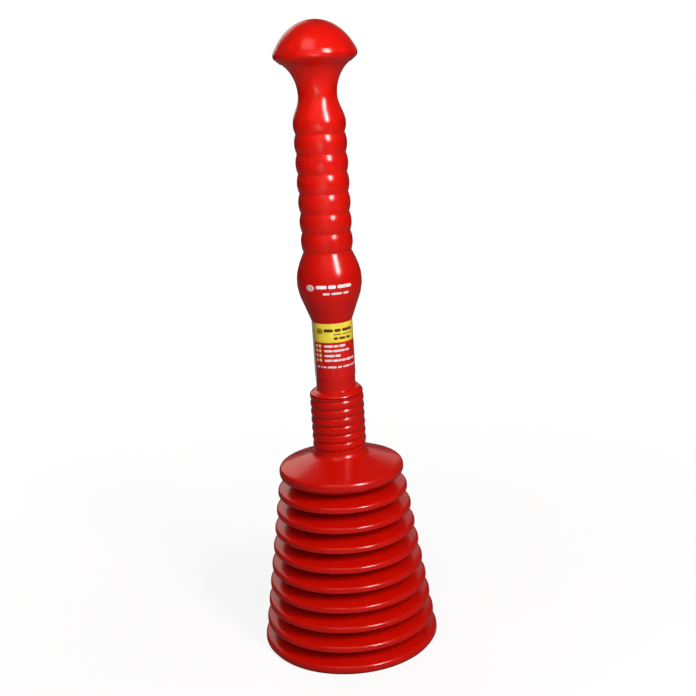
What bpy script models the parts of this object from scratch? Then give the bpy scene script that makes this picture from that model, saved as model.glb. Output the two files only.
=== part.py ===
"""Bellows plunger: a soft concertina cup with a screw neck, and a hollow handle that screws into it.

The cup stands on its open mouth at the origin, and the handle rises along +Z.  Everything is turned
about the Z axis.  Heights are chained upwards from the mouth, so a changed length moves all above it.
"""

import math

import bmesh
import bpy

MM = 0.001

# Clearances between pieces that touch or fit.
FIT_GAP = 0.3 * MM
LABEL_GAP = 0.25 * MM
THREAD_GAP = 0.45 * MM

# Concertina cup.
MOUTH_RADIUS = 62.5 * MM
DISC_RADIUS = 43.8 * MM
FOLD_COUNT = 9
FOLD_PITCH = 13.7 * MM
FOLD_DEPTH = 14.0 * MM
FOLD_BAND = 2.4 * MM
CUP_WALL = 1.8 * MM
LIP_HEIGHT = 4.0 * MM
LIP_FOOT = 3.0 * MM
LIP_TUCK = 1.6 * MM

# Top disc of the cup.
DISC_BAND = 8.0 * MM
DISC_STEP = 3.6 * MM
DISC_EDGE = 2.0 * MM
DISC_SLOPE = 0.36
DISC_WALL = 2.6 * MM

# Screw neck and the thread inside it.
NECK_RADIUS = 18.5 * MM
NECK_HEIGHT = 43.0 * MM
NECK_FILLET = 3.0 * MM
RIB_DEPTH = 0.75 * MM
THREAD_PITCH = 6.0 * MM
THREAD_DEPTH = 1.1 * MM
THREAD_ROWS = 5
NECK_WALL = 2.35 * MM

# Seal ring in the mouth of the neck.
SEAL_HEIGHT = 1.6 * MM
SEAL_WIDTH = 1.1 * MM

# Handle, from the shoulder up.
HANDLE_WALL = 2.1 * MM
SPIGOT_LENGTH = 38.0 * MM
SHOULDER_HEIGHT = 5.0 * MM
SHOULDER_ROUND = 1.0 * MM
WAIST_RADIUS = 13.6 * MM
WAIST_LENGTH = 47.3 * MM
BULB_RADIUS = 22.0 * MM
BULB_RISE = 27.7 * MM
BULB_STEP = 0.4 * MM
BULB_CONE = 17.4 * MM
BULB_CONE_SHARE = 0.81
BULB_FALL = 19.7 * MM
GRIP_VALLEY = 16.2 * MM
GRIP_RIDGE = 17.45 * MM
GRIP_PITCH = 13.0 * MM
GRIP_RIDGES = 6
SWELL_HEIGHT = 6.1 * MM
THROAT_RADIUS = 12.8 * MM
THROAT_FALL = 18.0 * MM
FLARE_HEIGHT = 23.8 * MM
FLARE_REACH = 19.5 * MM
RIM_RADIUS = 27.5 * MM
RIM_UNDERCUT = 2.2 * MM
RIM_DROP = 3.0 * MM
RIM_STEP = 0.5 * MM
RIM_RISE = 2.85 * MM
DOME_ROUND = 1.4 * MM

# Labels on the waist.
LABEL_THICKNESS = 0.12 * MM
LABEL_HEIGHT = 39.0 * MM
LABEL_FOOT = 8.0 * MM
FRONT_LABEL_START = math.radians(-153)
FRONT_LABEL_SPAN = math.radians(192)
LABEL_SEAM = math.radians(4)

# Air valve in the end of the spigot.
SEAT_FLANGE = 2.2 * MM
SEAT_PLUG = 4.0 * MM
VENT_RADIUS = 2.0 * MM
VENT_COUNT = 5
VALVE_DISC_MARGIN = 2.0 * MM
PIN_RADIUS = 1.5 * MM
PIN_HEAD_RADIUS = 3.2 * MM
PIN_HEAD_HEIGHT = 1.5 * MM
VALVE_DISC_THICKNESS = 1.2 * MM
VALVE_LIFT = 2.0 * MM

SEGMENTS = 28
SMALL_SEGMENTS = 20

# Heights worked out from the sizes above.
CREST_DROP = (MOUTH_RADIUS - DISC_RADIUS) / FOLD_COUNT
SPLIT_HEIGHT = LIP_HEIGHT + (FOLD_COUNT - 0.5) * FOLD_PITCH
DISC_HEIGHT = SPLIT_HEIGHT + DISC_STEP + DISC_BAND / 2
NECK_BASE = DISC_HEIGHT + DISC_BAND / 2 + DISC_SLOPE * (DISC_RADIUS - DISC_EDGE - NECK_RADIUS)
NECK_TOP = NECK_BASE + NECK_HEIGHT
SHOULDER_BASE = NECK_TOP + FIT_GAP
WAIST_BASE = SHOULDER_BASE + SHOULDER_HEIGHT
BULB_BASE = WAIST_BASE + WAIST_LENGTH
GRIP_BASE = BULB_BASE + BULB_RISE + BULB_FALL
GRIP_TOP = GRIP_BASE + GRIP_RIDGES * GRIP_PITCH
SWELL_CREST = GRIP_TOP + SWELL_HEIGHT
THROAT = SWELL_CREST + THROAT_FALL
DOME_EDGE_RADIUS = RIM_RADIUS - RIM_STEP
DOME_RADIUS = DOME_EDGE_RADIUS + DOME_ROUND

# Radii that fit one another: neck bore, spigot, seal ring and valve.
NECK_ROOT = NECK_RADIUS - RIB_DEPTH
BORE_MAJOR = NECK_RADIUS - NECK_WALL
BORE_MINOR = BORE_MAJOR - THREAD_DEPTH
SPIGOT_ROOT = BORE_MINOR - THREAD_GAP
SPIGOT_BORE = SPIGOT_ROOT - HANDLE_WALL
SEAL_SEAT = NECK_TOP - SEAL_HEIGHT - FIT_GAP
SEAL_INNER = SPIGOT_ROOT + FIT_GAP
SEAL_OUTER = SEAL_INNER + SEAL_WIDTH
SPIGOT_END = SHOULDER_BASE - SPIGOT_LENGTH
SEAT_TOP = SPIGOT_END + SEAT_PLUG
VALVE_DISC_BASE = SEAT_TOP + FIT_GAP
PIN_HEAD_BASE = VALVE_DISC_BASE + VALVE_DISC_THICKNESS + VALVE_LIFT + FIT_GAP
PIN_HOLE = PIN_RADIUS + FIT_GAP
SEAT_RADIUS = SPIGOT_BORE - FIT_GAP
VALVE_DISC_RADIUS = SPIGOT_BORE - VALVE_DISC_MARGIN
VENT_CIRCLE = (PIN_HOLE + VALVE_DISC_RADIUS) / 2


def clear_scene():
    """Remove every object, so the script gives the same model each run."""
    for item in list(bpy.data.objects):
        bpy.data.objects.remove(item, do_unlink=True)


def make_material(name, colour, roughness):
    """One plain plastic, rubber or paper finish."""
    material = bpy.data.materials.new(name)
    material.use_nodes = True
    shader = material.node_tree.nodes["Principled BSDF"]
    shader.inputs["Base Color"].default_value = (*colour, 1.0)
    shader.inputs["Roughness"].default_value = roughness
    shader.inputs["Metallic"].default_value = 0.0
    return material


def add_object(name, bm, material, parent, origin_height=0.0):
    """Close a bmesh into a named object whose origin is on the Z axis at origin_height."""
    bmesh.ops.remove_doubles(bm, verts=bm.verts, dist=1e-7)
    bmesh.ops.recalc_face_normals(bm, faces=bm.faces)
    bmesh.ops.translate(bm, verts=bm.verts, vec=(0.0, 0.0, -origin_height))
    mesh = bpy.data.meshes.new(name)
    bm.to_mesh(mesh)
    bm.free()
    mesh.shade_smooth()
    mesh.set_sharp_from_angle(angle=math.radians(40))
    mesh.materials.append(material)
    item = bpy.data.objects.new(name, mesh)
    bpy.context.collection.objects.link(item)
    if parent is not None:
        item.parent = parent
        item.location.z = origin_height - parent["height"]
    else:
        item.location.z = origin_height
    return item


def add_axis(name, height, parent=None):
    """An empty on a joint's axis, which carries the pieces that move with the joint."""
    empty = bpy.data.objects.new(name, None)
    empty["height"] = height
    bpy.context.collection.objects.link(empty)
    empty.parent = parent
    empty.location.z = height - (parent["height"] if parent is not None else 0.0)
    return empty


def turned(outline, segments=SEGMENTS, closed=True):
    """Spin an outline of (radius, height) points round the Z axis; an open one ends on the axis."""
    bm = bmesh.new()
    verts = [bm.verts.new((radius, 0.0, height)) for radius, height in outline]
    pairs = list(zip(verts, verts[1:]))
    if closed:
        pairs.append((verts[-1], verts[0]))
    edges = [bm.edges.new(pair) for pair in pairs]
    bmesh.ops.spin(bm, geom=verts + edges, axis=(0, 0, 1), cent=(0, 0, 0), angle=math.tau,
                   steps=segments, use_merge=True)
    bmesh.ops.remove_doubles(bm, verts=bm.verts, dist=1e-7)
    return bm


def span(start, end, steps):
    """Evenly spaced values from start to end, both included."""
    return [start + (end - start) * index / steps for index in range(steps + 1)]


def bow(start, end, rise, steps):
    """Points after start on a shallow arc to end that stands rise outwards of its chord."""
    points = []
    for share in span(0.0, 1.0, steps)[1:]:
        radius = start[0] + (end[0] - start[0]) * share + 4 * rise * share * (1 - share)
        points.append((radius, start[1] + (end[1] - start[1]) * share))
    return points


def ease(start, end, steps):
    """Points after start on a raised-cosine curve to end, level with the axis at both ends."""
    points = []
    for share in span(0.0, 1.0, steps)[1:]:
        blend = (1 - math.cos(math.pi * share)) / 2
        points.append((start[0] + (end[0] - start[0]) * blend, start[1] + (end[1] - start[1]) * share))
    return points


def fold_rows(outer):
    """Outer or inner outline of the folds, from the lowest root to the split under the disc."""
    half = FOLD_PITCH / 2
    run = half - FOLD_BAND
    flank = math.atan2(run, FOLD_DEPTH)
    corner = math.tan((math.pi / 2 - flank) / 2)
    rows = []
    for index in range(FOLD_COUNT):
        crest = MOUTH_RADIUS - index * CREST_DROP
        height = LIP_HEIGHT + index * FOLD_PITCH
        root = crest - CREST_DROP / 2 - FOLD_DEPTH
        root_height = height + half
        if outer:
            rows += [(crest, height - FOLD_BAND / 2), (crest, height + FOLD_BAND / 2)]
            rows += [(root, root_height - FOLD_BAND / 2), (root, root_height + FOLD_BAND / 2)]
        else:
            inner_crest = crest + FOLD_BAND / 2 / math.tan(flank) - CUP_WALL / math.sin(flank)
            inner_half = FOLD_BAND / 2 + CUP_WALL * corner
            inner_root = root - CUP_WALL
            rows += [(inner_crest, height)]
            rows += [(inner_root, root_height - inner_half), (inner_root, root_height + inner_half)]
    rows[-1] = (rows[-1][0], SPLIT_HEIGHT - FIT_GAP / 2)
    return rows


def build_bellows(material, parent):
    """Soft cup: a lip with a flat foot, then folds that taper up to the split under the disc."""
    foot_outer = MOUTH_RADIUS - LIP_TUCK
    foot_inner = foot_outer - LIP_FOOT
    outline = [(foot_outer, 0.0)]
    outline += fold_rows(outer=True)
    outline += list(reversed(fold_rows(outer=False)))
    outline.append((foot_inner, 0.0))
    return add_object("bellows", turned(outline), material, parent)


def thread_band(bm, low, high, is_band, shape):
    """Move the rows of one wall in or out along a right-hand helix of THREAD_PITCH."""
    for vert in bm.verts:
        radius = math.hypot(vert.co.x, vert.co.y)
        if low - 1e-7 <= vert.co.z <= high + 1e-7 and is_band(radius):
            angle = math.atan2(vert.co.y, vert.co.x)
            wave = (1 + math.cos(math.tau * vert.co.z / THREAD_PITCH - angle)) / 2
            ends = min(vert.co.z - low, high - vert.co.z) / THREAD_PITCH
            new_radius = shape(wave, min(max(ends, 0.0), 1.0))
            vert.co.x *= new_radius / radius
            vert.co.y *= new_radius / radius


def build_neck(material, parent):
    """Stiff top of the cup: the disc, its cone and the neck with ribs outside and a thread inside."""
    root = DISC_RADIUS + CREST_DROP / 2 - FOLD_DEPTH
    band_low = DISC_HEIGHT - DISC_BAND / 2
    band_high = DISC_HEIGHT + DISC_BAND / 2
    split = SPLIT_HEIGHT + FIT_GAP / 2
    rib_low = NECK_BASE + NECK_FILLET
    rib_high = NECK_TOP - THREAD_PITCH / THREAD_ROWS
    turns = (rib_high - rib_low) / THREAD_PITCH
    rows = max(4, round(turns * THREAD_ROWS))
    bore_low = NECK_BASE - NECK_FILLET
    bore_high = SEAL_SEAT
    bore_rows = max(4, round((bore_high - bore_low) / THREAD_PITCH * THREAD_ROWS))
    ceiling = band_high - DISC_WALL
    slope_end = BORE_MAJOR + 2 * NECK_FILLET
    inner_rim = DISC_RADIUS - DISC_EDGE - DISC_WALL
    outline = [(root, split), (root, split + FOLD_BAND / 2)]
    shoulder = DISC_RADIUS - DISC_EDGE
    rim = DISC_RADIUS - DISC_EDGE / 2
    cone_end = NECK_RADIUS + 2 * NECK_FILLET
    outline += [(shoulder, band_low - DISC_EDGE / 2)]
    outline += bow((rim, band_low), (rim, band_high - DISC_EDGE / 2), DISC_EDGE / 2, 4)
    outline += [(shoulder, band_high), (cone_end, band_high + DISC_SLOPE * (shoulder - cone_end))]
    outline += [(NECK_RADIUS + NECK_FILLET / 2, NECK_BASE)]
    outline += [(NECK_ROOT, height) for height in span(rib_low, rib_high, rows)]
    seal_pocket = SEAL_OUTER + FIT_GAP
    outline += [(NECK_ROOT, NECK_TOP), (seal_pocket, NECK_TOP), (seal_pocket, SEAL_SEAT)]
    outline += [(BORE_MAJOR, height) for height in span(bore_high, bore_low, bore_rows)]
    outline += [(slope_end, ceiling + DISC_SLOPE * (shoulder - slope_end)), (inner_rim, ceiling)]
    outline += [(inner_rim, band_low + DISC_WALL / 2)]
    outline += [(root - CUP_WALL, split + FOLD_BAND / 2 + CUP_WALL), (root - CUP_WALL, split)]
    bm = turned(outline)
    middle = (NECK_ROOT + BORE_MAJOR) / 2
    thread_band(bm, rib_low, rib_high, lambda radius: middle < radius < NECK_ROOT + MM,
                lambda wave, ends: NECK_ROOT + RIB_DEPTH * wave * ends)
    thread_band(bm, bore_low, bore_high, lambda radius: BORE_MINOR - MM < radius < middle,
                lambda wave, ends: BORE_MAJOR - THREAD_DEPTH * (1 - wave) * ends)
    return add_object("neck", bm, material, parent, SPLIT_HEIGHT)


def build_seal_ring(material, parent):
    """Soft ring in the mouth of the neck, squeezed by the handle's shoulder."""
    low = SEAL_SEAT + FIT_GAP
    high = low + SEAL_HEIGHT
    edge = SEAL_WIDTH / 4
    outline = [(SEAL_INNER, low + edge), (SEAL_INNER + edge, low), (SEAL_OUTER - edge, low),
               (SEAL_OUTER, low + edge), (SEAL_OUTER, high - edge), (SEAL_OUTER - edge, high),
               (SEAL_INNER + edge, high), (SEAL_INNER, high - edge)]
    return add_object("seal_ring", turned(outline), material, parent, SHOULDER_BASE)


def handle_outside():
    """Outer outline of the handle, from the shoulder up to the crown of the knob."""
    points = bow((NECK_ROOT - FIT_GAP, SHOULDER_BASE), (WAIST_RADIUS, WAIST_BASE), SHOULDER_ROUND, 4)
    foot = WAIST_RADIUS + BULB_STEP
    cone_top = foot + BULB_CONE_SHARE * (BULB_RADIUS - foot)
    points += [(WAIST_RADIUS, BULB_BASE), (foot, BULB_BASE + BULB_STEP / 2)]
    points += [(cone_top, BULB_BASE + BULB_CONE)]
    points += bow(points[-1], (BULB_RADIUS, BULB_BASE + BULB_RISE), 0.35 * MM, 3)
    for share in span(0.0, 1.0, 4)[1:]:
        drop = (BULB_RADIUS - GRIP_VALLEY) * (1 - math.cos(math.pi / 2 * share))
        points.append((BULB_RADIUS - drop, BULB_BASE + BULB_RISE + BULB_FALL * share))
    for index in range(GRIP_RIDGES):
        low = (GRIP_VALLEY, GRIP_BASE + index * GRIP_PITCH)
        high = (GRIP_VALLEY, GRIP_BASE + (index + 1) * GRIP_PITCH)
        points += bow(low, high, GRIP_RIDGE - GRIP_VALLEY, 4)
    points += [(GRIP_RIDGE, (GRIP_TOP + SWELL_CREST) / 2)]
    points += [(GRIP_RIDGE, SWELL_CREST)]
    points += ease((GRIP_RIDGE, SWELL_CREST), (THROAT_RADIUS, THROAT), 5)
    share = 1 - (RIM_RADIUS - RIM_UNDERCUT - THROAT_RADIUS) / FLARE_REACH
    for angle in span(0.0, math.acos(share), 6)[1:]:
        points.append((THROAT_RADIUS + FLARE_REACH * (1 - math.cos(angle)),
                       THROAT + FLARE_HEIGHT * math.sin(angle)))
    rim = points[-1][1] + RIM_DROP
    points += bow(points[-1], (RIM_RADIUS, rim), 0.4 * MM, 2)
    points += bow(points[-1], (DOME_EDGE_RADIUS, rim + RIM_RISE), 0.2 * MM, 2)
    edge = math.acos(DOME_EDGE_RADIUS / DOME_RADIUS)
    centre = rim + RIM_RISE - DOME_RADIUS * math.sin(edge)
    for angle in span(edge, math.pi / 2, 7)[1:]:
        points.append((DOME_RADIUS * math.cos(angle), centre + DOME_RADIUS * math.sin(angle)))
    points[-1] = (0.0, centre + DOME_RADIUS)
    return points


def handle_inside(crown):
    """Inner outline of the hollow handle, from the crown down to the end of the spigot."""
    inside = DOME_RADIUS - HANDLE_WALL
    centre = crown - DOME_RADIUS
    points = [(inside * math.cos(angle), centre + inside * math.sin(angle))
              for angle in span(math.pi / 2, math.radians(22), 5)]
    points[0] = (0.0, centre + inside)
    points += [(THROAT_RADIUS, THROAT + 0.8 * FLARE_HEIGHT)]
    points += [(THROAT_RADIUS - HANDLE_WALL, THROAT + 0.3 * FLARE_HEIGHT)]
    points += [(THROAT_RADIUS - HANDLE_WALL, THROAT), (GRIP_VALLEY - HANDLE_WALL, SWELL_CREST)]
    points += [(GRIP_VALLEY - HANDLE_WALL, GRIP_BASE)]
    points += [(BULB_RADIUS - HANDLE_WALL, BULB_BASE + BULB_RISE)]
    waist_bore = WAIST_RADIUS - HANDLE_WALL
    points += [(waist_bore, BULB_BASE + 0.2 * BULB_RISE), (waist_bore, WAIST_BASE)]
    points += [(SPIGOT_BORE, SHOULDER_BASE), (SPIGOT_BORE, SPIGOT_END)]
    return points


def build_handle(material, parent):
    """Hollow handle in one piece: threaded spigot, shoulder, waist, bulb, grip and knob."""
    thread_low = SPIGOT_END + THREAD_PITCH / THREAD_ROWS
    thread_high = SEAL_SEAT - FIT_GAP
    rows = max(4, round((thread_high - thread_low) / THREAD_PITCH * THREAD_ROWS))
    spigot = [(SPIGOT_ROOT, SPIGOT_END)]
    spigot += [(SPIGOT_ROOT, height) for height in span(thread_low, thread_high, rows)]
    spigot += [(SPIGOT_ROOT, SHOULDER_BASE), (NECK_ROOT - FIT_GAP, SHOULDER_BASE)]
    outside = handle_outside()
    outline = list(reversed(spigot + outside)) + list(reversed(handle_inside(outside[-1][1])))
    bm = turned(outline, closed=False)
    middle = (SPIGOT_ROOT + SPIGOT_BORE) / 2
    thread_band(bm, thread_low, thread_high, lambda radius: radius > middle,
                lambda wave, ends: SPIGOT_ROOT + THREAD_DEPTH * wave * ends)
    return add_object("handle_shell", bm, material, parent, SHOULDER_BASE)


def build_label(name, material, parent, start, sweep):
    """Thin sheet bent round the waist, from the angle start through the angle sweep."""
    inner = WAIST_RADIUS + LABEL_GAP
    low = WAIST_BASE + LABEL_FOOT
    bm = bmesh.new()
    corners = [(inner, low), (inner + LABEL_THICKNESS, low),
               (inner + LABEL_THICKNESS, low + LABEL_HEIGHT), (inner, low + LABEL_HEIGHT)]
    verts = [bm.verts.new((radius * math.cos(start), radius * math.sin(start), height))
             for radius, height in corners]
    face = bm.faces.new(verts)
    bmesh.ops.spin(bm, geom=[face], axis=(0, 0, 1), cent=(0, 0, 0), angle=sweep,
                   steps=round(math.degrees(sweep) / 11))
    return add_object(name, bm, material, parent, SHOULDER_BASE)


def cut_vents(seat):
    """Bore a ring of vents through the valve seat."""
    for index in range(VENT_COUNT):
        angle = math.tau * index / VENT_COUNT
        depth = 4 * (SEAT_FLANGE + SEAT_PLUG)
        bpy.ops.mesh.primitive_cylinder_add(vertices=12, radius=VENT_RADIUS, depth=depth)
        cutter = bpy.context.object
        cutter.name = f"vent_cutter_{index + 1}"
        cutter.location = (VENT_CIRCLE * math.cos(angle), VENT_CIRCLE * math.sin(angle), SEAT_TOP)
        cutter.hide_render = True
        cutter.display_type = "WIRE"
        cut = seat.modifiers.new(cutter.name, "BOOLEAN")
        cut.operation = "DIFFERENCE"
        cut.object = cutter


def build_valve_seat(material, parent):
    """Vented plug in the open end of the spigot, with a flange under the spigot's rim."""
    rim = SPIGOT_END - FIT_GAP
    flange = SPIGOT_ROOT - FIT_GAP
    outline = [(PIN_HOLE, rim - SEAT_FLANGE), (flange, rim - SEAT_FLANGE), (flange, rim),
               (SEAT_RADIUS, rim), (SEAT_RADIUS, SEAT_TOP), (PIN_HOLE, SEAT_TOP)]
    seat = add_object("valve_seat", turned(outline), material, parent, SHOULDER_BASE)
    cut_vents(seat)
    return seat


def build_valve_disc(material, parent):
    """Soft disc that covers the vents and can rise up the pin."""
    top = VALVE_DISC_BASE + VALVE_DISC_THICKNESS
    outline = [(PIN_HOLE, VALVE_DISC_BASE), (VALVE_DISC_RADIUS, VALVE_DISC_BASE),
               (VALVE_DISC_RADIUS, top), (PIN_HOLE, top)]
    return add_object("valve_disc", turned(outline), material, parent, VALVE_DISC_BASE)


def build_valve_pin(material, parent):
    """Headed pin through the seat: the foot holds it from below, the head stops the disc."""
    foot = SPIGOT_END - 2 * FIT_GAP - SEAT_FLANGE
    outline = [(0.0, foot - PIN_HEAD_HEIGHT), (PIN_HEAD_RADIUS, foot - PIN_HEAD_HEIGHT),
               (PIN_HEAD_RADIUS, foot), (PIN_RADIUS, foot), (PIN_RADIUS, PIN_HEAD_BASE),
               (PIN_HEAD_RADIUS, PIN_HEAD_BASE)]
    outline += bow((PIN_HEAD_RADIUS, PIN_HEAD_BASE), (0.0, PIN_HEAD_BASE + PIN_HEAD_HEIGHT), 0.6 * MM, 3)
    bm = turned(outline, SMALL_SEGMENTS, closed=False)
    return add_object("valve_pin", bm, material, parent, SHOULDER_BASE)


def build_plunger():
    """Make every piece, each on the axis that it moves with."""
    clear_scene()
    soft_red = make_material("soft_red", (0.55, 0.010, 0.004), 0.32)
    hard_red = make_material("hard_red", (0.58, 0.010, 0.003), 0.25)
    label_print = make_material("label_print", (0.80, 0.50, 0.02), 0.45)
    label_white = make_material("label_white", (0.80, 0.80, 0.78), 0.45)
    black_rubber = make_material("black_rubber", (0.02, 0.02, 0.02), 0.6)
    valve_plastic = make_material("valve_plastic", (0.75, 0.75, 0.72), 0.4)

    neck_axis = add_axis("neck_axis", SPLIT_HEIGHT)
    lift_axis = add_axis("lift_axis", SHOULDER_BASE, neck_axis)
    turn_axis = add_axis("turn_axis", SHOULDER_BASE, lift_axis)
    valve_axis = add_axis("valve_axis", VALVE_DISC_BASE, turn_axis)

    build_bellows(soft_red, None)
    build_neck(soft_red, neck_axis)
    build_seal_ring(black_rubber, lift_axis)
    build_handle(hard_red, turn_axis)
    back_start = FRONT_LABEL_START + FRONT_LABEL_SPAN + LABEL_SEAM
    build_label("label_front", label_print, turn_axis, FRONT_LABEL_START, FRONT_LABEL_SPAN)
    back_span = math.tau - FRONT_LABEL_SPAN - 2 * LABEL_SEAM
    build_label("label_back", label_white, turn_axis, back_start, back_span)
    build_valve_seat(valve_plastic, turn_axis)
    build_valve_pin(valve_plastic, turn_axis)
    build_valve_disc(black_rubber, valve_axis)


build_plunger()
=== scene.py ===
"""Looks of the bellows plunger: soft red concertina cup, screw neck and hollow moulded handle.

Turned pieces are profiles of (radius, height) carried round the Z axis.  Lengths are in metres.
"""
import math

import bmesh
import bpy
import numpy as np
from mathutils import Matrix, Vector


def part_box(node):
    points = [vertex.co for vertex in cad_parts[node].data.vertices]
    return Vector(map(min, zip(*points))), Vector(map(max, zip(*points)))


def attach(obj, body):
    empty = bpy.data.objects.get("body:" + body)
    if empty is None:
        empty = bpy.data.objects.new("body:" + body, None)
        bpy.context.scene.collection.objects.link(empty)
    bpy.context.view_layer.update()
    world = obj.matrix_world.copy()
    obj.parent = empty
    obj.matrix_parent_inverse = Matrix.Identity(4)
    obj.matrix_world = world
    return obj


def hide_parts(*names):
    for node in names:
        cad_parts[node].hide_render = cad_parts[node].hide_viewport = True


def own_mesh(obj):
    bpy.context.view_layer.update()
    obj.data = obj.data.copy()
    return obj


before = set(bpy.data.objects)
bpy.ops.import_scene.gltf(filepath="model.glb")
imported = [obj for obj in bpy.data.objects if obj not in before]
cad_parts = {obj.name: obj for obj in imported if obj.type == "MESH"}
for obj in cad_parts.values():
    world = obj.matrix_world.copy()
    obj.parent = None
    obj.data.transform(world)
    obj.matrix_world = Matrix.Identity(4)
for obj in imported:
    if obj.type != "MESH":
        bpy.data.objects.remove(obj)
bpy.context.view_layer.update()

MM = 0.001
MERGE = 0.001 * MM

# Heights and radii taken from the frame.
MOUTH_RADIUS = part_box("bellows")[1][0]
DISC_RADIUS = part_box("neck")[1][0]
CUP_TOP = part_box("bellows")[1][2]
NECK_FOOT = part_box("neck")[0][2]
SPLIT = (CUP_TOP + NECK_FOOT) / 2
NECK_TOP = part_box("neck")[1][2]
SEAT_OF_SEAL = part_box("seal_ring")[0][2] - 0.3 * MM
SHOULDER_BASE = NECK_TOP + 0.3 * MM
SPIGOT_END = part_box("handle_shell")[0][2]
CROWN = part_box("handle_shell")[1][2]
RIM_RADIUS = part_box("handle_shell")[1][0]
LABEL_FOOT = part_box("label_front")[0][2]
LABEL_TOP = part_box("label_front")[1][2]

# Folds of the cup.
FOLDS = 9
LIP_HEIGHT = 4.0 * MM
LIP_TUCK = 1.6 * MM
LIP_WIDTH = 3.0 * MM
PITCH = (SPLIT - LIP_HEIGHT) / (FOLDS - 0.5)
DROP = (MOUTH_RADIUS - DISC_RADIUS) / FOLDS
DEPTH = 14.0 * MM
NOSE = 3.8 * MM
VALLEY = 2.0 * MM
CUP_WALL = 1.8 * MM

# Neck, its ribs and its thread.
NECK_CORE = 17.75 * MM
RIB_DEPTH = 0.95 * MM
NECK_BASE = 140.44 * MM
DISC_SLOPE = 0.36
DISC_EDGE_HEIGHT = 132.05 * MM
LEAD_IN = 4.0 * MM
BORE = 16.15 * MM
THREAD_DEPTH = 1.1 * MM
THREAD_PITCH = 6.0 * MM
SPIGOT = 14.6 * MM
SPIGOT_BORE = 12.5 * MM

# Handle.
SHOULDER_HEIGHT = 5.0 * MM
WAIST = 13.6 * MM
BULB = 22.0 * MM
BULB_FOOT = LABEL_TOP + 0.3 * MM
BULB_STEP = 0.4 * MM
BULB_CONE = 17.4 * MM
BULB_CONE_RADIUS = 20.5 * MM
BULB_HEIGHT = 263.74 * MM
GRIP_FOOT = 283.44 * MM
GRIP_PITCH = 13.0 * MM
GRIP_RIDGES = 6
GRIP_TOP = GRIP_FOOT + GRIP_PITCH * GRIP_RIDGES
GRIP_VALLEY = 16.2 * MM
GRIP_RIDGE = 17.45 * MM
SWELL = 367.54 * MM
THROAT = 12.8 * MM
THROAT_HEIGHT = 385.54 * MM
FLARE_HEIGHT = 23.8 * MM
FLARE_REACH = 19.5 * MM
HANDLE_WALL = 2.1 * MM

# Labels: angles are turned from +X, and -90 degrees is the front.
LABEL_RADIUS = 13.85 * MM
LABEL_SKIN = 0.12 * MM
BAND_FOOT = LABEL_TOP - 13.1 * MM
INK = 0.03 * MM
BULB_PRINT_RADIUS = 21.7 * MM

# Strength of the world's light on the pieces; the camera sees it white.
WORLD_DIM = 0.045


# ---------------------------------------------------------------- shapes

def rounded(corners, radii, steps=6):
    """Open line with each inner corner swapped for a parabolic arc.

    The arc leaves and meets the two sides radius * tan(turn / 2) from the corner, and is
    corner - before * reach * (1 - s)^2 + after * reach * s^2 for s from 0 to 1.
    """
    corners = np.array(corners, float)
    sides = np.diff(corners, axis=0)
    lengths = np.linalg.norm(sides, axis=1)
    ways = sides / lengths[:, None]
    turn = np.arccos(np.clip((ways[:-1] * ways[1:]).sum(1), -1, 1))
    reach = np.broadcast_to(radii, turn.shape) * np.tan(np.minimum(turn, 2.6) / 2)
    reach = np.minimum(reach, 0.49 * np.minimum(lengths[:-1], lengths[1:]))
    s = np.linspace(0, 1, steps)[None, :, None]
    reach = reach[:, None, None]
    arcs = (corners[1:-1, None] - ways[:-1, None] * reach * (1 - s) ** 2
            + ways[1:, None] * reach * s ** 2)
    return np.vstack([corners[:1], arcs.reshape(-1, 2), corners[-1:]])


def set_in(corners, distance):
    """Line moved sideways by distance: each corner goes along its mitre, 1 / cos(turn / 2) further."""
    corners = np.array(corners, float)
    ways = np.diff(corners, axis=0)
    ways /= np.linalg.norm(ways, axis=1)[:, None]
    left = np.stack([-ways[:, 1], ways[:, 0]], 1)
    left = np.vstack([left[:1], left, left[-1:]])
    both = left[:-1] + left[1:]
    return corners + distance * both * 2 / (both ** 2).sum(1)[:, None]


def refined(profile, longest):
    """Line with extra points on its straight runs, none further apart than longest."""
    lengths = np.linalg.norm(np.diff(profile, axis=0), axis=1)
    profile = profile[np.concatenate([[True], lengths > 1e-8])]
    lengths = lengths[lengths > 1e-8]
    along = np.concatenate([[0], np.cumsum(lengths)])
    counts = np.maximum(np.ceil(lengths / longest).astype(int), 1)
    step = np.repeat(lengths / counts, counts)
    index = np.arange(counts.sum()) - np.repeat(np.cumsum(counts) - counts, counts)
    marks = np.append(np.repeat(along[:-1], counts) + step * index, along[-1])
    return np.stack([np.interp(marks, along, profile[:, 0]), np.interp(marks, along, profile[:, 1])], 1)


def evened(line, count=40):
    """Line with count points, spread evenly over the numbering of its own points."""
    share = np.linspace(0, 1, count)
    own = np.linspace(0, 1, len(line))
    return np.stack([np.interp(share, own, line[:, 0]), np.interp(share, own, line[:, 1])], 1)


def fade(value, low, high):
    """Smooth step: 0 at low, 1 at high, 3 t^2 - 2 t^3 between."""
    share = np.clip((value - low) / (high - low), 0, 1)
    return share * share * (3 - 2 * share)


def ring_faces(rows, columns, wrap_rows, wrap_columns):
    """Quads between neighbouring points of a grid, joined up at the ends where it wraps."""
    index = np.arange(rows * columns).reshape(rows, columns)
    if wrap_rows:
        index = np.vstack([index, index[:1]])
    if wrap_columns:
        index = np.hstack([index, index[:, :1]])
    return np.stack([index[:-1, :-1], index[:-1, 1:], index[1:, 1:], index[1:, :-1]], -1).reshape(-1, 4)


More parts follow.
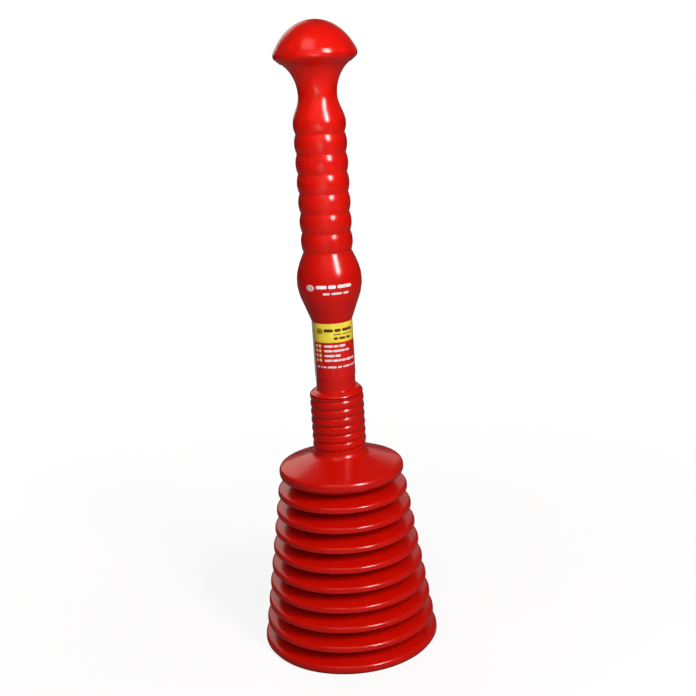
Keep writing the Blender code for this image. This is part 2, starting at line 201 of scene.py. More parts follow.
def skin(name, points, faces, body, material, crease=50):
    """A mesh object at the origin from arrays of points and quads, its seams merged and faces outwards."""
    mesh = bpy.data.meshes.new(name)
    mesh.vertices.add(len(points))
    mesh.vertices.foreach_set("co", np.ascontiguousarray(points, np.float32).ravel())
    mesh.loops.add(faces.size)
    mesh.loops.foreach_set("vertex_index", faces.astype(np.int32).ravel())
    mesh.polygons.add(len(faces))
    mesh.polygons.foreach_set("loop_start", np.arange(0, faces.size, 4, dtype=np.int32))
    mesh.polygons.foreach_set("loop_total", np.full(len(faces), 4, np.int32))
    mesh.update(calc_edges=True)
    bm = bmesh.new()
    bm.from_mesh(mesh)
    bmesh.ops.remove_doubles(bm, verts=bm.verts, dist=MERGE)
    bmesh.ops.recalc_face_normals(bm, faces=bm.faces)
    bm.to_mesh(mesh)
    bm.free()
    mesh.shade_smooth()
    mesh.set_sharp_from_angle(angle=math.radians(crease))
    mesh.materials.append(material)
    item = bpy.data.objects.new(name, mesh)
    bpy.context.scene.collection.objects.link(item)
    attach(item, body)
    return item


def turned(name, profile, body, material, segments=128, closed=True, shape=None):
    """Profile carried round the Z axis: x = r cos a, y = r sin a, z = h.

    shape(r, h, a) may give back another radius and height for every point at once.
    """
    turn = np.broadcast_to(np.arange(segments) * math.tau / segments, (len(profile), segments))
    radius = np.repeat(profile[:, :1], segments, 1)
    height = np.repeat(profile[:, 1:], segments, 1)
    if shape is not None:
        radius, height = shape(radius, height, turn)
    points = np.stack([radius * np.cos(turn), radius * np.sin(turn), height], -1).reshape(-1, 3)
    return skin(name, points, ring_faces(len(profile), segments, closed, True), body, material)


def helix(height, angle):
    """Place within one turn of the right-hand thread, from -0.5 to 0.5, with the crest at 0."""
    return (height / THREAD_PITCH - angle / math.tau + 0.5) % 1.0 - 0.5


def rib(height, angle, low, high):
    """Rounded rib with a narrow groove: |cos(pi p)|^0.7, faded out over 4 mm at low and high."""
    ends = fade(height, low, low + LEAD_IN) * (1 - fade(height, high - LEAD_IN, high))
    return np.abs(np.cos(math.pi * helix(height, angle))) ** 0.7 * ends


def thread(height, angle, low, high):
    """Round thread: (1 + cos(2 pi p)) / 2, faded out over one turn at low and high."""
    ends = np.clip(np.minimum(height - low, high - height) / THREAD_PITCH, 0, 1)
    return (1 + np.cos(math.tau * helix(height, angle))) / 2 * ends


# ---------------------------------------------------------------- materials

def new_finish(name):
    """A node material with only its shader; gives back the material, its nodes' tree and the shader."""
    material = bpy.data.materials.new(name)
    material.use_nodes = True
    tree = material.node_tree
    return material, tree, tree.nodes["Principled BSDF"]


def node(tree, kind, settings=None, **inputs):
    """One node, with its settings and the values of its unlinked inputs."""
    item = tree.nodes.new(kind)
    for key, value in (settings or {}).items():
        setattr(item, key, value)
    for key, value in inputs.items():
        item.inputs[key.replace("_", " ")].default_value = value
    return item


def place(tree):
    """Where a point is on the piece, in metres."""
    return tree.nodes.new("ShaderNodeTexCoord").outputs["Object"]


def grain(tree, where, scale, detail=3.0, stretch=None):
    """Noise over the piece, drawn out by the three factors of stretch."""
    if stretch is not None:
        mapping = node(tree, "ShaderNodeMapping")
        mapping.inputs["Scale"].default_value = stretch
        tree.links.new(where, mapping.inputs["Vector"])
        where = mapping.outputs["Vector"]
    noise = node(tree, "ShaderNodeTexNoise", Scale=scale, Detail=detail, Roughness=0.55)
    tree.links.new(where, noise.inputs["Vector"])
    return noise.outputs["Fac"]


def ranged(tree, value, low, high, to_low, to_high):
    """value moved from low..high to to_low..to_high, and held at the ends."""
    item = node(tree, "ShaderNodeMapRange")
    for socket, number in zip(("From Min", "From Max", "To Min", "To Max"), (low, high, to_low, to_high)):
        item.inputs[socket].default_value = number
    tree.links.new(value, item.inputs["Value"])
    return item.outputs["Result"]


def math_node(tree, operation, a, b):
    """a and b put together by one sum; either may be a number or a socket."""
    item = node(tree, "ShaderNodeMath", {"operation": operation})
    for socket, value in zip(item.inputs, (a, b)):
        if isinstance(value, (int, float)):
            socket.default_value = value
        else:
            tree.links.new(value, socket)
    return item.outputs[0]


def mixed(tree, share, a, b):
    """Colour between a and b; each may be a colour or a socket."""
    item = node(tree, "ShaderNodeMix", {"data_type": "RGBA"})
    tree.links.new(share, item.inputs["Factor"])
    for socket, value in ((item.inputs[6], a), (item.inputs[7], b)):
        if isinstance(value, tuple):
            socket.default_value = (*value, 1)
        else:
            tree.links.new(value, socket)
    return item.outputs[2]


def bumps(tree, shader, layers):
    """Stack of bumps on the shader's normal: each layer is a height socket and its depth in metres."""
    normal = None
    for height, depth in layers:
        bump = node(tree, "ShaderNodeBump", Strength=1.0, Distance=depth)
        tree.links.new(height, bump.inputs["Height"])
        if normal is not None:
            tree.links.new(normal, bump.inputs["Normal"])
        normal = bump.outputs["Normal"]
    tree.links.new(normal, shader.inputs["Normal"])


def worn_edge(tree, low, high):
    """1 on outward edges and 0 elsewhere, from how pointed the surface is."""
    geometry = tree.nodes.new("ShaderNodeNewGeometry")
    return ranged(tree, geometry.outputs["Pointiness"], low, high, 0.0, 1.0)


def plastic(name, colour, deep, pale, rough, peel, coat):
    """Moulded plastic: clouded colour, paler rubbed edges, orange peel, and a fine scuffed gloss."""
    material, tree, shader = new_finish(name)
    where = place(tree)
    cloud = ranged(tree, grain(tree, where, 38.0, 2.0), 0.3, 0.7, 0.0, 1.0)
    body = mixed(tree, cloud, deep, colour)
    fleck = ranged(tree, grain(tree, where, 520.0, 2.0), 0.62, 0.8, 0.0, 0.06)
    body = mixed(tree, fleck, body, pale)
    rubbed = math_node(tree, "MULTIPLY", worn_edge(tree, 0.55, 0.7), 0.14)
    tree.links.new(mixed(tree, rubbed, body, pale), shader.inputs["Base Color"])
    scuff = grain(tree, where, 190.0, 5.0, (1.0, 1.0, 0.35))
    gloss = ranged(tree, scuff, 0.35, 0.75, rough, rough + 0.09)
    gloss = math_node(tree, "ADD", gloss, math_node(tree, "MULTIPLY", rubbed, 0.25))
    tree.links.new(gloss, shader.inputs["Roughness"])
    bumps(tree, shader, [(grain(tree, where, 430.0, 2.0), peel),
                         (grain(tree, where, 2600.0, 2.0), peel * 0.12)])
    shader.inputs["IOR"].default_value = 1.5
    shader.inputs["Specular IOR Level"].default_value = 0.5
    shader.inputs["Coat Weight"].default_value = coat
    shader.inputs["Coat Roughness"].default_value = 0.12
    return material


def rubber(name, colour, dusty, rough):
    """Matt rubber: faint dusty clouds and a fine grain."""
    material, tree, shader = new_finish(name)
    where = place(tree)
    dust = ranged(tree, grain(tree, where, 160.0, 5.0), 0.45, 0.72, 0.0, 1.0)
    tree.links.new(mixed(tree, dust, colour, dusty), shader.inputs["Base Color"])
    tree.links.new(ranged(tree, dust, 0.0, 1.0, rough, rough + 0.15), shader.inputs["Roughness"])
    bumps(tree, shader, [(grain(tree, where, 1500.0, 3.0), 0.03 * MM)])
    return material


def printed_foil(name, low, high, rough):
    """Glossy printed sheet: the colour is low below the change of panel and high above it."""
    material, tree, shader = new_finish(name)
    where = place(tree)
    split = node(tree, "ShaderNodeSeparateXYZ")
    tree.links.new(where, split.inputs[0])
    panel = math_node(tree, "GREATER_THAN", split.outputs["Z"], BAND_FOOT)
    tone = ranged(tree, grain(tree, where, 260.0, 4.0), 0.35, 0.7, 0.88, 1.06)
    colour = mixed(tree, panel, low, high)
    shade = node(tree, "ShaderNodeHueSaturation")
    tree.links.new(colour, shade.inputs["Color"])
    tree.links.new(tone, shade.inputs["Value"])
    tree.links.new(shade.outputs["Color"], shader.inputs["Base Color"])
    tree.links.new(ranged(tree, grain(tree, where, 900.0, 3.0), 0.3, 0.7, rough, rough + 0.12),
                   shader.inputs["Roughness"])
    bumps(tree, shader, [(grain(tree, where, 240.0, 2.0), 0.05 * MM)])
    shader.inputs["Coat Weight"].default_value = 0.2
    shader.inputs["Coat Roughness"].default_value = 0.2
    return material


def ink(name, colour, worn, rough=0.4):
    """Printed ink: thin and patchy where it has rubbed."""
    material, tree, shader = new_finish(name)
    where = place(tree)
    patch = ranged(tree, grain(tree, where, 1100.0, 4.0), 0.5, 0.75, 0.0, 0.6)
    tree.links.new(mixed(tree, patch, colour, worn), shader.inputs["Base Color"])
    tree.links.new(ranged(tree, patch, 0.0, 1.0, rough, rough + 0.2), shader.inputs["Roughness"])
    bumps(tree, shader, [(grain(tree, where, 1800.0, 2.0), 0.01 * MM)])
    return material


# ---------------------------------------------------------------- pieces

def build_cup(material):
    """Concertina cup: a lip with a flat foot, then nine folds whose noses and valleys are rounded."""
    crest = MOUTH_RADIUS - DROP * np.arange(FOLDS)
    height = LIP_HEIGHT + PITCH * np.arange(FOLDS)
    valley = crest - DROP / 2 - DEPTH
    middle = height + PITCH / 2
    fold = np.stack([crest, height - NOSE / 2, crest - 0.25 * MM, height + NOSE / 2,
                     valley, middle - VALLEY / 2, valley, middle + VALLEY / 2], 1).reshape(-1, 2)
    fold[-1] = (valley[-1], CUP_TOP)
    foot = (MOUTH_RADIUS - LIP_TUCK, 0.0)
    outside = np.vstack([[foot], fold])
    inside = set_in(outside, CUP_WALL)
    inside[0] = (foot[0] - LIP_WIDTH, 0.0)
    inside[-1] = (valley[-1] - CUP_WALL, CUP_TOP)
    radii_out = np.append(1.2 * MM, np.tile([2.4, 3.4, 1.2, 1.2], FOLDS)[:-2] * MM)
    radii_in = np.append(1.2 * MM, np.tile([0.8, 0.8, 2.0, 2.0], FOLDS)[:-2] * MM)
    outside = rounded(outside, radii_out[:len(outside) - 2], 7)
    inside = rounded(inside, radii_in[:len(inside) - 2], 4)
    profile = refined(np.vstack([outside, inside[::-1]]), 2.4 * MM)
    cup = turned("concertina_cup", profile, "cup", material, 176)
    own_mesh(cup)
    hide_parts("bellows")


def build_neck(material):
    """Disc and ribbed neck in one: sharp lipped root on the left, and a smooth fillet on the right."""
    root = DISC_RADIUS + DROP / 2 - DEPTH
    low, high = NECK_BASE + 2.8 * MM, NECK_TOP + 4.0 * MM
    band = 128.05 * MM
    shoulder = 41.8 * MM

    def cone(radius):
        """Height of the disc's sloping top at a radius."""
        return DISC_EDGE_HEIGHT + DISC_SLOPE * (shoulder - radius)

    disc = [(root, NECK_FOOT), (root, NECK_FOOT + VALLEY / 2), (41.4 * MM, band - 4.2 * MM),
            (DISC_RADIUS, band - 2.0 * MM), (DISC_RADIUS, band + 1.7 * MM),
            (42.9 * MM, band + 3.4 * MM), (40.4 * MM, cone(40.4 * MM)), (26 * MM, cone(26 * MM))]
    disc = refined(rounded(disc, np.array([1.2, 2.4, 3.4, 3.4, 3.0, 0.5]) * MM, 8), 1.8 * MM)
    lipped = rounded([(26 * MM, cone(26 * MM)), (17.9 * MM, cone(17.9 * MM)),
                      (18.9 * MM, NECK_BASE + 1.5 * MM), (19.0 * MM, NECK_BASE + 2.5 * MM),
                      (NECK_CORE, NECK_BASE + 4.0 * MM), (NECK_CORE, NECK_BASE + 9 * MM)],
                     np.array([0.3, 0.7, 0.9, 0.6]) * MM, 6)
    filleted = rounded([(26 * MM, cone(26 * MM)), (NECK_CORE, cone(NECK_CORE)),
                        (NECK_CORE, NECK_BASE + 9 * MM)], 5.5 * MM, 24)
    lipped, filleted = evened(refined(lipped, 0.5 * MM)), evened(refined(filleted, 0.5 * MM))
    ribbed = refined(np.array([(NECK_CORE, NECK_BASE + 9 * MM), (NECK_CORE, NECK_TOP - 0.6 * MM)]), 0.5 * MM)
    mouth = rounded([ribbed[-1], (NECK_CORE, SHOULDER_BASE - 0.06 * MM), (16.3 * MM, NECK_TOP),
                     (16.3 * MM, SEAT_OF_SEAL), (BORE, SEAT_OF_SEAL)],
                    np.array([0.1, 0.25, 0.2]) * MM, 4)
    bore = refined(np.array([(BORE, SEAT_OF_SEAL), (BORE, NECK_BASE - 3 * MM)]), 0.75 * MM)
    under = rounded([bore[-1], (22.15 * MM, cone(22.15 * MM) - 2.6 * MM), (39.2 * MM, 129.45 * MM),
                     (39.2 * MM, 125.35 * MM), (root - CUP_WALL, NECK_FOOT + 3.0 * MM),
                     (root - CUP_WALL, NECK_FOOT)], np.array([3, 1.5, 1.5, 1]) * MM, 5)
    parts = [disc, lipped[1:], ribbed[1:], mouth[1:], bore[1:], refined(under, 3 * MM)[1:]]
    profile = np.vstack(parts)
    start = len(disc)
    rows = slice(start, start + len(lipped) - 1)
    outer = np.arange(len(profile))[:, None] < start + len(lipped) + len(ribbed)
    # Each part after the first gives up its first point, which the part before it already holds.
    inner_start = start + len(lipped) + len(ribbed) + len(mouth) - 3
    inner = (np.arange(len(profile))[:, None] >= inner_start - 1) \
        & (np.arange(len(profile))[:, None] < inner_start + len(bore))

    def shape(radius, height, angle):
        """Left to right change of the root, then ribs outside and the hollow thread inside."""
        radius, height = radius.copy(), height.copy()
        turn = (np.degrees(angle[rows]) + 360 + 110) % 360 - 180
        smooth = fade(np.abs(turn), 48, 84)
        radius[rows] += (filleted[1:, :1] - radius[rows]) * smooth
        height[rows] += (filleted[1:, 1:] - height[rows]) * smooth
        on_neck = outer & (height > low) & (radius < 19.5 * MM)
        radius = radius + np.where(on_neck, RIB_DEPTH * rib(height, angle, low, high), 0)
        cut = THREAD_DEPTH * (1 - thread(height, angle, -1.0, 1.0))
        ends = np.clip(np.minimum(height - NECK_BASE + 3 * MM, SEAT_OF_SEAL - height) / THREAD_PITCH, 0, 1)
        radius = radius - np.where(inner, cut * ends, 0)
        return radius, height

    neck = turned("screw_neck", profile, "top", material, 176, shape=shape)
    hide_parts("neck")


def handle_outline():
    """Outer line of the handle from the shoulder to the crown.

    The bulb is a cone with a rounded belly and a quarter cosine above it, the grip six parabolic
    bows, the swell a raised cosine, the flare a quarter ellipse, and the knob's top part of a sphere.
    """
    s = np.linspace(0, 1, 33)
    waist = [(WAIST, SHOULDER_BASE + SHOULDER_HEIGHT), (WAIST, BULB_FOOT - 0.1 * MM)]
    up = rounded([waist[-1], (WAIST + BULB_STEP, BULB_FOOT + 0.1 * MM),
                  (BULB_CONE_RADIUS + 0.15 * MM, BULB_FOOT + BULB_CONE + 0.4 * MM),
                  (BULB, BULB_HEIGHT - 3.2 * MM), (BULB, BULB_HEIGHT)],
                 np.array([0.3, 18.0, 30.0]) * MM, 10)
    down = np.stack([BULB - (BULB - GRIP_VALLEY) * (1 - np.cos(math.pi / 2 * s)),
                     BULB_HEIGHT + (GRIP_FOOT - BULB_HEIGHT) * s], 1)
    t = np.linspace(0, GRIP_RIDGES, GRIP_RIDGES * 16 + 1)
    u = t % 1.0
    grip = np.stack([GRIP_VALLEY + (GRIP_RIDGE - GRIP_VALLEY) * 4 * u * (1 - u),
                     GRIP_FOOT + GRIP_PITCH * t], 1)
    rise = np.stack([GRIP_RIDGE - (GRIP_RIDGE - GRIP_VALLEY) * (1 - s) ** 2.2,
                     GRIP_TOP + (SWELL - GRIP_TOP) * s], 1)
    fall = np.stack([THROAT + (GRIP_RIDGE - THROAT) * (1 + np.cos(math.pi * s)) / 2,
                     SWELL + (THROAT_HEIGHT - SWELL) * s], 1)
    edge = RIM_RADIUS - 5.3 * MM
    a = s * math.acos(1 - (edge - THROAT) / FLARE_REACH)
    flare = np.stack([THROAT + FLARE_REACH * (1 - np.cos(a)), THROAT_HEIGHT + FLARE_HEIGHT * np.sin(a)], 1)
    base = flare[-1, 1] + 2.1 * MM
    ball = 28.4 * MM
    centre = CROWN - ball
    start = math.asin((base + 6.8 * MM - centre) / ball)
    dome = np.linspace(start, math.pi / 2, 40)
    dome = np.stack([ball * np.cos(dome), centre + ball * np.sin(dome)], 1)
    tall = (dome[:, 1] - dome[0, 1]) / (CROWN - dome[0, 1])
    dome[:, 0] *= 1 - 0.055 * tall ** 0.6
    dome[-1, 0] = 0.0
    knob = rounded([flare[-1], (edge + 0.9 * MM, base - 1.95 * MM), (RIM_RADIUS - 0.1 * MM, base + 1.7 * MM),
                    (RIM_RADIUS, base + 4.4 * MM), dome[0], dome[1]],
                   np.array([0.35, 2.8, 3.4, 1.2]) * MM, 8)
    return np.vstack([waist, up[1:], down[1:], grip[1:], rise[1:], fall[1:], flare[1:],
                      knob[1:-1], dome[1:]])


def build_handle(material):
    """Hollow handle: threaded spigot, a shoulder that climbs like the thread, waist, bulb, grip, knob."""
    low, high = SPIGOT_END + 1.2 * MM, SEAT_OF_SEAL - 0.3 * MM
    outline = handle_outline()
    spigot = np.vstack([[(SPIGOT, SPIGOT_END)],
                        refined(np.array([(SPIGOT, low), (SPIGOT, high)]), 0.6 * MM),
                        [(SPIGOT, SHOULDER_BASE)]])
    shoulder = rounded([(NECK_CORE - 0.1 * MM, SHOULDER_BASE),
                        (NECK_CORE - 0.1 * MM, SHOULDER_BASE + 2.4 * MM),
                        (16.0 * MM, SHOULDER_BASE + 4.6 * MM),
                        (WAIST, SHOULDER_BASE + SHOULDER_HEIGHT),
                        (WAIST, SHOULDER_BASE + SHOULDER_HEIGHT + 2 * MM)],
                       np.array([3.2, 2.2, 0.6]) * MM, 8)
    inside = [(0.0, CROWN - HANDLE_WALL), (17 * MM, CROWN - 9.0 * MM), (23.4 * MM, CROWN - 17 * MM),
              (THROAT, THROAT_HEIGHT + 19.6 * MM), (THROAT - HANDLE_WALL, THROAT_HEIGHT + 7.4 * MM),
              (THROAT - HANDLE_WALL, THROAT_HEIGHT), (GRIP_VALLEY - HANDLE_WALL, SWELL),
              (GRIP_VALLEY - HANDLE_WALL, GRIP_FOOT), (BULB - HANDLE_WALL, BULB_HEIGHT),
              (WAIST - HANDLE_WALL, BULB_FOOT + 6.4 * MM),
              (WAIST - HANDLE_WALL, SHOULDER_BASE + SHOULDER_HEIGHT),
              (SPIGOT_BORE, SHOULDER_BASE), (SPIGOT_BORE, SPIGOT_END)]
    inside = refined(rounded(inside, 3 * MM, 5), 6 * MM)
    outside = refined(np.vstack([shoulder, outline[1:]]), 1.3 * MM)
    profile = np.vstack([spigot, outside, inside])
    profile = np.vstack([profile, [(SPIGOT, SPIGOT_END)]])
    threaded = np.arange(len(profile))[:, None] < len(spigot)

    def shape(radius, height, angle):
        """Thread on the spigot; the shoulder is 2.4 mm lower on the left than on the right."""
        radius = radius + np.where(threaded, THREAD_DEPTH * thread(height, angle, low, high), 0)
        turn = (np.degrees(angle) + 180) % 360
        climb = fade(turn, 8, 190) * (1 - fade(turn, 280, 352))
        above = np.where(threaded, 0, height - SHOULDER_BASE)
        share = fade(above, 0, SHOULDER_HEIGHT) * (1 - fade(above, SHOULDER_HEIGHT, 12 * MM))
        share = np.where(radius > WAIST - 0.1 * MM, share, 0)
        low_rim = (above > 1e-6) & (above < 2.6 * MM) & (radius > 17.0 * MM)
        radius = radius + np.where(low_rim, RIB_DEPTH * rib(height, angle, 0.1, SHOULDER_BASE + 4 * MM), 0)
        return radius, height - 2.4 * MM * (1 - climb) * share

    handle = turned("moulded_handle", profile, "handle", material, 144,
                    closed=False, shape=shape)
    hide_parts("handle_shell")
    return outline


def build_sheet(name, node_name, material, start, sweep, columns):
    """Printed sheet bent round the waist; its four edges dip in by a hair so that it sits down."""
    u = np.linspace(0, 1, columns)
    v = np.linspace(0, 1, 24)
    angle = np.radians(start + sweep * u)[None, :]
    height = (LABEL_FOOT + (LABEL_TOP - LABEL_FOOT) * v)[:, None]
    edge = np.minimum.outer(np.minimum(v, 1 - v) * 24, np.minimum(u, 1 - u) * columns)
    skin_depth = LABEL_SKIN * np.clip(0.45 + 0.55 * edge, 0, 1)
    outer = LABEL_RADIUS + skin_depth
    inner = np.full_like(outer, LABEL_RADIUS)
    layers = [np.stack([r * np.cos(angle), r * np.sin(angle), np.broadcast_to(height, r.shape)], -1)
              for r in (outer, inner)]
    points = np.concatenate([layer.reshape(-1, 3) for layer in layers])
    count = 24 * columns
    grid = np.arange(count).reshape(24, columns)
    rim = np.concatenate([grid[0], grid[1:, -1], grid[-1, -2::-1], grid[-2:0:-1, 0]])
    after = np.roll(rim, -1)
    faces = np.concatenate([ring_faces(24, columns, False, False),
                            ring_faces(24, columns, False, False)[:, ::-1] + count,
                            np.stack([rim, after, after + count, rim + count], 1)])
    sheet = skin(name, points, faces, "handle", material, 40)
    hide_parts(node_name)


def build_print(name, material, marks, surface):
    """Flat printed marks laid on a turned surface, each a thin closed plate.

    A mark is (angle, height, half width, half height, squareness, hole).  Its outline is the
    superellipse |cos|^n, |sin|^n; rings go from the hole (or the centre) out to the edge, down and back.
    """
    marks = np.array(marks, float)
    ring = np.array([0.0, 0.4, 0.75, 0.96, 1.0, 1.0, 0.75, 0.4, 0.0])
    lift = np.array([1.0, 1.0, 1.0, 1.0, 0.6, 0.0, 0.0, 0.0, 0.0]) * INK
    columns = 28
    a = np.arange(columns) * math.tau / columns
    angle, height, wide, tall, square, hole = marks.T[:, :, None, None]
    share = hole + (1 - hole) * ring[None, :, None]
    c, s = np.cos(a)[None, None], np.sin(a)[None, None]
    x = share * wide * np.sign(c) * np.abs(c) ** square
    y = share * tall * np.sign(s) * np.abs(s) ** square
    z = height + y
    turn = np.radians(angle) + x / surface(height)
    radius = surface(z) + lift[None, :, None]
    points = np.stack([radius * np.cos(turn), radius * np.sin(turn), z], -1).reshape(-1, 3)
    one = ring_faces(len(ring), columns, False, True)
    step = len(ring) * columns
    faces = (one[None] + (np.arange(len(marks)) * step)[:, None, None]).reshape(-1, 4)
    closing = ring_faces(2, columns, False, True)
    ends = np.where(closing >= columns, closing - columns, closing + (len(ring) - 1) * columns)
    holed = np.flatnonzero(marks[:, 5] > 0)
    faces = np.concatenate([faces, (ends[None] + (holed * step)[:, None, None]).reshape(-1, 4)])
    return skin(name, points, faces, "handle", material, 60)


def line_of_words(angle, height, widths, half_height, gap, radius):
    """Greeked words: bars of these widths in a row from the angle rightwards, with gaps between."""
    widths = np.array(widths, float) * MM
    left = np.concatenate([[0], np.cumsum(widths + gap * MM)[:-1]])
    turn = angle + np.degrees((left + widths / 2) / radius)
    return [(place_round, height, width / 2, half_height * MM, 0.4, 0)
            for place_round, width in zip(turn, widths)]


def build_labels(foil, paper, dark_ink, gold_ink, white_ink, grey_ink):
    """Front label with a banner and a panel, a paper label on the back, and greeked marks on both."""
    build_sheet("front_label", "label_front", foil, -153.0, 192.0, 120)
    build_sheet("back_label", "label_back", paper, 43.0, 160.0, 100)
    radius = LABEL_RADIUS + LABEL_SKIN
    top = LABEL_TOP

    def round_waist(height):
        """The label's surface, the same radius at every height."""
        return np.full_like(height, radius)

    badge = [(-130, top - 5.2 * MM, 2.5 * MM, 1.9 * MM, 1.0, 0.62),
             (-130, top - 5.2 * MM, 1.0 * MM, 0.8 * MM, 1.0, 0)]
    banner = line_of_words(-116, top - 4.7 * MM, [6.6, 4.3, 8.9], 1.05, 1.0, radius)
    banner += line_of_words(-89, top - 7.6 * MM, [5.6, 9.5], 0.32, 0.5, radius)
    banner += line_of_words(-88, top - 10.3 * MM, [2.8, 4.6, 3.4], 0.85, 0.9, radius)
    build_print("banner_marks", dark_ink, badge + banner, round_waist)
    squares = [(a, top - h * MM, 1.05 * MM, 1.05 * MM, 0.6, 0)
               for h in (15.6, 18.9, 22.3, 25.6) for a in (-143.5, -131.5)]
    build_print("panel_squares", gold_ink, squares, round_waist)
    rows = [(15.6, [6.4, 3.2, 4.8]), (18.9, [5.9, 8.4, 3.1]), (22.3, [7.2, 3.6]),
            (25.6, [5.4, 9.3, 4.4, 3.0])]
    lines = sum([line_of_words(-118, top - h * MM, w, 0.8, 0.45, radius) for h, w in rows], [])
    lines += line_of_words(-147, top - 30.3 * MM, [2.6, 1.0, 2.2, 6.2, 2.6, 5.8, 2.8, 4.4],
                           0.66, 1.0, radius)
    build_print("panel_lines", white_ink, lines, round_waist)
    back = []
    for row in range(12):
        widths = [3.1 + 1.7 * math.sin(1.9 * row + 2.3 * k) for k in range(9 if row % 4 else 5)]
        tall = 0.85 if row == 0 else 0.4
        back += line_of_words(52, top - (3.2 + 2.75 * row) * MM, widths, tall, 0.7, radius)
    build_print("back_lines", grey_ink, back, round_waist)


def build_bulb_print(outline, material):
    """Two greeked lines and a ring badge printed on the front of the bulb."""
    radius = BULB_PRINT_RADIUS

    def on_bulb(height):
        """The bulb's radius at a height, from the lower part of the handle's outline."""
        return np.interp(height, outline[:60, 1], outline[:60, 0])

    marks = [(-126.5, 262.0 * MM, 2.9 * MM, 2.1 * MM, 1.0, 0.6),
             (-126.5, 262.0 * MM, 1.1 * MM, 0.9 * MM, 1.0, 0)]
    marks += line_of_words(-115, 262.6 * MM, [7.4, 4.9, 10.3], 1.15, 1.0, radius)
    marks += line_of_words(-103, 257.9 * MM, [4.6, 7.2, 3.9], 0.7, 1.1, radius)
    build_print("bulb_marks", material, marks, on_bulb)


def build_seal(material):
    """Seal ring: a rectangle section with rounded edges."""
    low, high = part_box("seal_ring")
    outer = high[0]
    inner = 14.9 * MM
    middle = (low[2] + high[2]) / 2
    section = rounded([(inner, middle), (inner, low[2]), (outer, low[2]), (outer, high[2]),
                       (inner, high[2]), (inner, middle)], 0.45 * MM, 7)
    washer = turned("seal_washer", section[:-1], "seal", material, 120)
    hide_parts("seal_ring")


def build_valve(seat_material, disc_material):
    """Rubber flap with a raised bead near its edge, and a headed pin; the vented seat stays as it is."""
    low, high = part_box("valve_disc")
    edge, foot, top = high[0], low[2], high[2]
    hole = 1.8 * MM
    flap = rounded([(hole, (foot + top) / 2), (hole, foot), (edge, foot), (edge, top),
                    (edge - 1.1 * MM, top), (edge - 1.6 * MM, top - 0.25 * MM),
                    (hole + 1.6 * MM, top - 0.25 * MM), (hole + 1.1 * MM, top), (hole, top),
                    (hole, (foot + top) / 2)], 0.3 * MM, 5)
    flap = turned("valve_flap", refined(flap, 2 * MM)[:-1], "valve", disc_material, 72)
    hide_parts("valve_disc")
    low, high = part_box("valve_pin")
    head, foot, top = high[0], low[2], high[2]
    pin = rounded([(0, foot), (head, foot), (head, foot + 1.5 * MM), (1.5 * MM, foot + 1.5 * MM),
                   (1.5 * MM, top - 1.5 * MM), (head, top - 1.5 * MM), (head * 0.72, top - 0.3 * MM),
                   (0, top)],
                  np.array([0.4, 0.25, 0.2, 0.2, 0.25, 1.4]) * MM, 7)
    pin = turned("valve_rivet", refined(pin, 1.2 * MM), "handle", seat_material, 48,
                 closed=False)
    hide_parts("valve_pin")
    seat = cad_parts["valve_seat"]
    seat.data.materials.clear()
    seat.data.materials.append(seat_material)


# ---------------------------------------------------------------- room, lights and camera

def build_room():
    """Wide pale floor, and a world that is white to the camera and dim to the lights. The floor's glow, seen
    by the camera only, is painted dimmer near the plunger: a painted shadow round its foot.
    """
    material, tree, shader = new_finish("pale_floor")
    cloud = ranged(tree, grain(tree, place(tree), 1.1, 2.0), 0.3, 0.7, 0.0, 1.0)
    tree.links.new(mixed(tree, cloud, (0.13, 0.12, 0.12), (0.15, 0.14, 0.14)), shader.inputs["Base Color"])
    shader.inputs["Roughness"].default_value = 0.8
    shader.inputs["Specular IOR Level"].default_value = 0.1
    shader.inputs["Emission Color"].default_value = (1, 1, 1, 1)
    away = node(tree, "ShaderNodeVectorMath", {"operation": "LENGTH"})
    tree.links.new(place(tree), away.inputs[0])
    # painted shadow: the camera-only glow runs from 0.86 near the plunger up to 1.0 at 1.2 m away, so the
    # floor is painted darker round the cup's foot
    floor_glow_with_painted_shadow = ranged(tree, away.outputs["Value"], 0.1, 1.2, 0.86, 1.0)
    path = tree.nodes.new("ShaderNodeLightPath")
    seen_only = math_node(tree, "MULTIPLY", path.outputs["Is Camera Ray"], floor_glow_with_painted_shadow)
    tree.links.new(seen_only, shader.inputs["Emission Strength"])
    mesh = bpy.data.meshes.new("studio_floor")
    reach = 14.0
    mesh.from_pydata([(-reach, -reach, -0.0002), (reach, -reach, -0.0002), (reach, reach, -0.0002),
                      (-reach, reach, -0.0002)], [], [(0, 1, 2, 3)])
    mesh.materials.append(material)
    floor = bpy.data.objects.new("studio_floor", mesh)
    bpy.context.scene.collection.objects.link(floor)
    world = bpy.data.worlds.new("studio")
    world.use_nodes = True
    bpy.context.scene.world = world
    tree = world.node_tree
    seen = tree.nodes["Background"]
    seen.inputs["Color"].default_value = (1, 1, 1, 1)
    dim = node(tree, "ShaderNodeBackground", Color=(1, 0.97, 0.95, 1), Strength=WORLD_DIM)
    mix = node(tree, "ShaderNodeMixShader")
    path = node(tree, "ShaderNodeLightPath")
    tree.links.new(path.outputs["Is Camera Ray"], mix.inputs[0])
    tree.links.new(dim.outputs[0], mix.inputs[1])
    tree.links.new(seen.outputs[0], mix.inputs[2])
    tree.links.new(mix.outputs[0], tree.nodes["World Output"].inputs["Surface"])


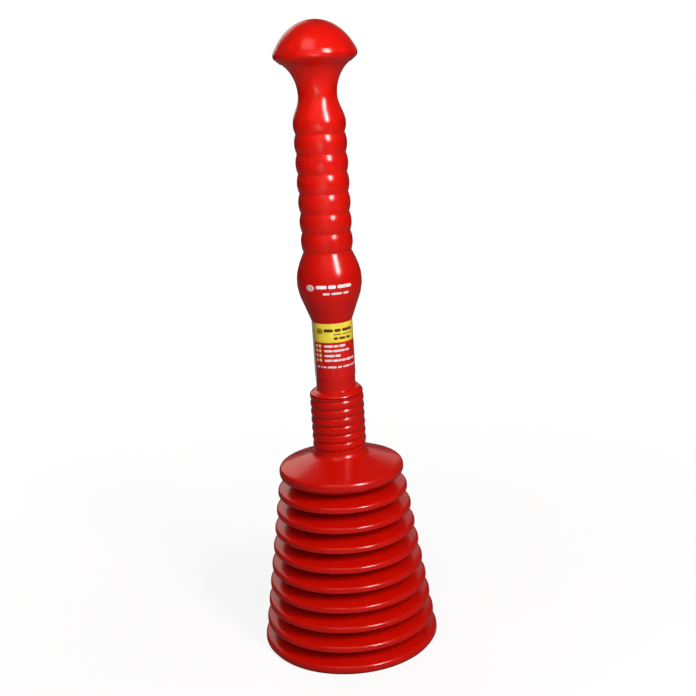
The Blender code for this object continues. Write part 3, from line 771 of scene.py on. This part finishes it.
def add_lamp(name, turn, lift, distance, wide, tall, watts, colour=(1, 1, 1), aim=0.2, mirrored=True,
             spread=180):
    """Soft box at an angle to the right of the front and a lift above level, facing the piece."""
    lamp = bpy.data.lights.new(name, "AREA")
    lamp.shape = "RECTANGLE"
    lamp.size, lamp.size_y, lamp.energy, lamp.color = wide, tall, watts, colour
    lamp.spread = math.radians(spread)
    turn, lift = math.radians(turn), math.radians(lift)
    way = Vector((math.sin(turn) * math.cos(lift), -math.cos(turn) * math.cos(lift), math.sin(lift)))
    item = bpy.data.objects.new(name, lamp)
    item.matrix_world = Matrix.Translation(Vector((0, 0, aim)) + way * distance) \
        @ way.to_track_quat("Z", "Y").to_matrix().to_4x4()
    item.visible_glossy = mirrored
    bpy.context.scene.collection.objects.link(item)


def place_camera():
    """Camera 15 degrees above level, rolled a little so that the handle leans to the left."""
    pitch, yaw, roll = math.radians(15.0), math.radians(0.74), math.radians(-3.48)
    ahead = Vector((math.sin(yaw) * math.cos(pitch), math.cos(yaw) * math.cos(pitch), -math.sin(pitch)))
    right = ahead.cross(Vector((0, 0, 1))).normalized()
    up = right.cross(ahead)
    turned_right = right * math.cos(roll) + up * math.sin(roll)
    turned_up = up * math.cos(roll) - right * math.sin(roll)
    data = bpy.data.cameras.new("camera")
    data.lens, data.sensor_width = 36.0 * 1141 / 696, 36.0
    data.clip_start, data.clip_end = 0.05, 30.0
    camera = bpy.data.objects.new("camera", data)
    frame_axes = Matrix((turned_right, turned_up, -ahead)).transposed().to_4x4()
    camera.matrix_world = Matrix.Translation((0.0, -0.7580, 0.4178)) @ frame_axes
    bpy.context.scene.collection.objects.link(camera)
    bpy.context.scene.camera = camera


soft_red = plastic("soft_red_moulding", (0.60, 0.0045, 0.0008), (0.56, 0.0035, 0.0006), (0.68, 0.03, 0.012),
                   0.2, 0.03 * MM, 0.25)
hard_red = plastic("hard_red_moulding", (0.61, 0.0048, 0.0008), (0.57, 0.0038, 0.0006), (0.70, 0.035, 0.014),
                   0.18, 0.03 * MM, 0.3)
black_rubber = rubber("black_rubber", (0.012, 0.012, 0.013), (0.045, 0.043, 0.04), 0.5)
pale_plastic = plastic("pale_valve_plastic", (0.62, 0.61, 0.58), (0.55, 0.54, 0.51), (0.75, 0.74, 0.72),
                       0.3, 0.02 * MM, 0.0)
foil = printed_foil("label_foil", (0.66, 0.005, 0.003), (0.92, 0.74, 0.06), 0.3)
paper = printed_foil("label_paper", (0.80, 0.82, 0.84), (0.80, 0.82, 0.84), 0.45)
dark_ink = ink("dark_ink", (0.10, 0.012, 0.006), (0.35, 0.16, 0.03))
gold_ink = ink("gold_ink", (0.93, 0.78, 0.34), (0.66, 0.32, 0.08))
white_ink = ink("white_ink", (0.86, 0.74, 0.74), (0.66, 0.22, 0.22))
grey_ink = ink("grey_ink", (0.16, 0.17, 0.25), (0.5, 0.52, 0.58))

build_cup(soft_red)
build_neck(soft_red)
outline = build_handle(hard_red)
build_labels(foil, paper, dark_ink, gold_ink, white_ink, grey_ink)
build_bulb_print(outline, white_ink)
build_seal(black_rubber)
build_valve(pale_plastic, black_rubber)
build_room()
add_lamp("key", 36, 33, 1.3, 0.3, 0.66, 12.5)
add_lamp("top_left", -28, 64, 1.4, 0.55, 0.5, 1.1)
add_lamp("front_fill", -8, 38, 2.0, 1.8, 1.2, 17.5, mirrored=False)
add_lamp("back_fill", -158, 28, 2.0, 1.6, 1.2, 12.0, mirrored=False)
add_lamp("low_fill", -4, -12, 1.5, 0.6, 0.2, 0.27, aim=0.42, mirrored=False, spread=16)
add_lamp("left_screen", -160, 24, 2.0, 0.9, 1.1, 3.4, (1, 0.74, 0.66))
add_lamp("right_screen", 166, 18, 2.0, 0.5, 0.8, 0.6, (1, 0.78, 0.72))
place_camera()
bpy.context.scene.view_settings.view_transform = "Standard"
